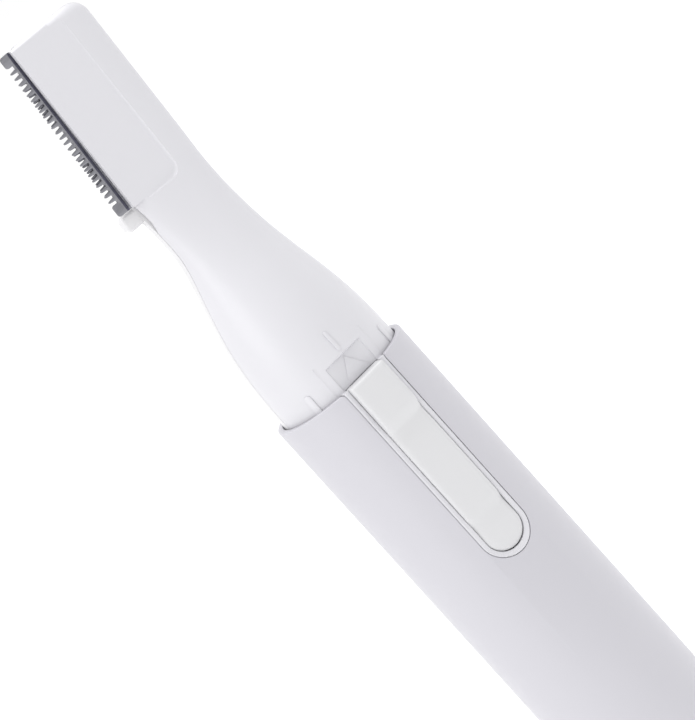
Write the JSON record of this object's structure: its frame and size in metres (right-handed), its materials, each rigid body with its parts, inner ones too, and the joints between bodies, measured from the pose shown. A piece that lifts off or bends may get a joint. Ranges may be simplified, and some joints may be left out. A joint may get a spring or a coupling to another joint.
{
  "type": "precision hair trimmer",
  "caption": "Slim pen-shaped battery hair trimmer: round grip sleeve with a thumb slide, tapered neck and a flat leaning head with a toothed blade along one side.",
  "frame": {"origin": "centre of the flat base that the trimmer stands on", "axes": "+Z along the handle towards the blade end; the switch faces -Y; the teeth face -X"},
  "size_m": [0.0196, 0.0201, 0.1524],
  "materials": {
    "grip_plastic": "satin pale lilac plastic",
    "body_plastic": "smooth white plastic",
    "switch_plastic": "smooth white plastic",
    "blade_steel": "ground and brushed steel",
    "spring_steel": "bright drawn steel",
    "screw_steel": "plated steel",
    "inner_plastic": "natural acetal",
    "motor_steel": "plated sheet steel",
    "black_plastic": "black moulded plastic",
    "magnet": "grey ferrite",
    "rubber": "matt rubber",
    "copper": "copper alloy",
    "cell_label": "printed film on the can, plain"
  },
  "bodies": {
    "grip": {"grip_sleeve": "grip_plastic"},
    "chassis": {"front_shell": "body_plastic", "back_shell": "body_plastic", "shell_screws": "screw_steel", "fixed_blade": "blade_steel", "blade_pins": "inner_plastic", "blade_spring": "spring_steel", "lever_pin": "spring_steel", "motor_can": "motor_steel", "motor_magnets": "magnet", "motor_end_bell": "black_plastic", "motor_brushes": "copper", "motor_terminals": "copper", "motor_cushion": "rubber", "battery_cell": "cell_label", "battery_terminal": "spring_steel", "positive_contact": "copper", "negative_spring": "spring_steel", "negative_strip": "copper", "motor_strip": "copper"},
    "switch": {"switch_slide": "switch_plastic", "slide_clip": "inner_plastic", "switch_bridge": "copper"},
    "rotor": {"motor_shaft": "spring_steel", "motor_armature": "copper", "motor_commutator": "copper", "eccentric_cam": "inner_plastic", "eccentric_pin": "spring_steel"},
    "lever": {"drive_lever": "inner_plastic"},
    "blade": {"moving_blade": "blade_steel", "blade_driver": "inner_plastic"}
  },
  "joints": [
    {"name": "sleeve_pull", "type": "slide", "parent": "grip", "child": "chassis", "axis": [0, 0, 1], "range_m": [0, 0.1]},
    {"name": "switch_slide_travel", "type": "slide", "parent": "chassis", "child": "switch", "axis": [0, 0, 1], "range_m": [0, 0.0033]},
    {"name": "motor_spin", "type": "hinge", "parent": "chassis", "child": "rotor", "pos_m": [0, 0, 0.08], "axis": [0, 0, 1], "continuous": true},
    {"name": "lever_rock", "type": "hinge", "parent": "chassis", "child": "lever", "pos_m": [0.0026, 0, 0.12], "axis": [0, 1, 0], "range_deg": [-3.9, 3.9]},
    {"name": "blade_stroke", "type": "slide", "parent": "chassis", "child": "blade", "axis": [0.067, 0, 0.9978], "range_m": [-0.00034, 0.00034]}
  ],
  "couplings": [
    {"joint": "lever_rock", "follows": "blade_stroke", "rad_per_m": 200}
  ]
}
